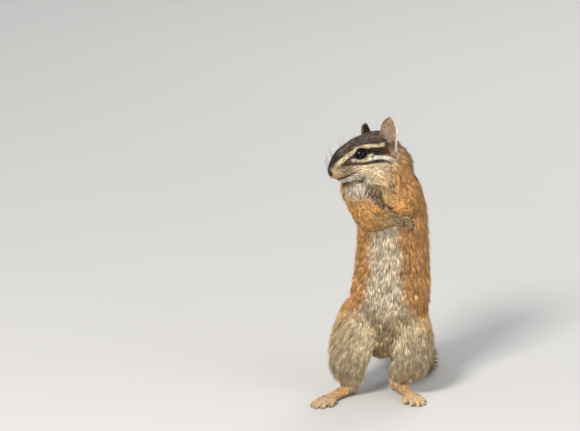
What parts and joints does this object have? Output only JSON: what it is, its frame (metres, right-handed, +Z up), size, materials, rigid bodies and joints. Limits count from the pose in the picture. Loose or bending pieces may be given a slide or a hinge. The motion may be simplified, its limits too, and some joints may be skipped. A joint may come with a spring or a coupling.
{
  "type": "chipmunk",
  "caption": "Small striped rodent standing upright on its hind feet, head turned aside, both paws raised before the chest, tail on the floor behind.",
  "frame": {"origin": "middle of the bounding box, on the floor under the feet", "axes": "+Z up, the animal faces -Y with its head turned towards -X, its left side is at +X"},
  "size_m": [0.0604, 0.1222, 0.131],
  "materials": {
    "fur_flank": "matte",
    "fur_head": "matte",
    "fur_leg": "matte",
    "skin_paw": "matte",
    "ear": "matte",
    "eye": "gloss",
    "fur_tail": "matte"
  },
  "bodies": {
    "root": {"torso": "fur_flank", "neck": "fur_flank", "head": "fur_head", "eye_left": "eye", "eye_right": "eye", "ear_left": "ear", "ear_right": "ear", "thigh_left": "fur_leg", "shin_left": "fur_leg", "foot_left": "skin_paw", "upper_arm_left": "fur_flank", "forearm_left": "fur_flank", "paw_left": "skin_paw", "thigh_right": "fur_leg", "shin_right": "fur_leg", "foot_right": "skin_paw", "upper_arm_right": "fur_flank", "forearm_right": "fur_flank", "paw_right": "skin_paw", "tail_1": "fur_tail", "tail_2": "fur_tail", "tail_3": "fur_tail"}
  },
  "joints": []
}
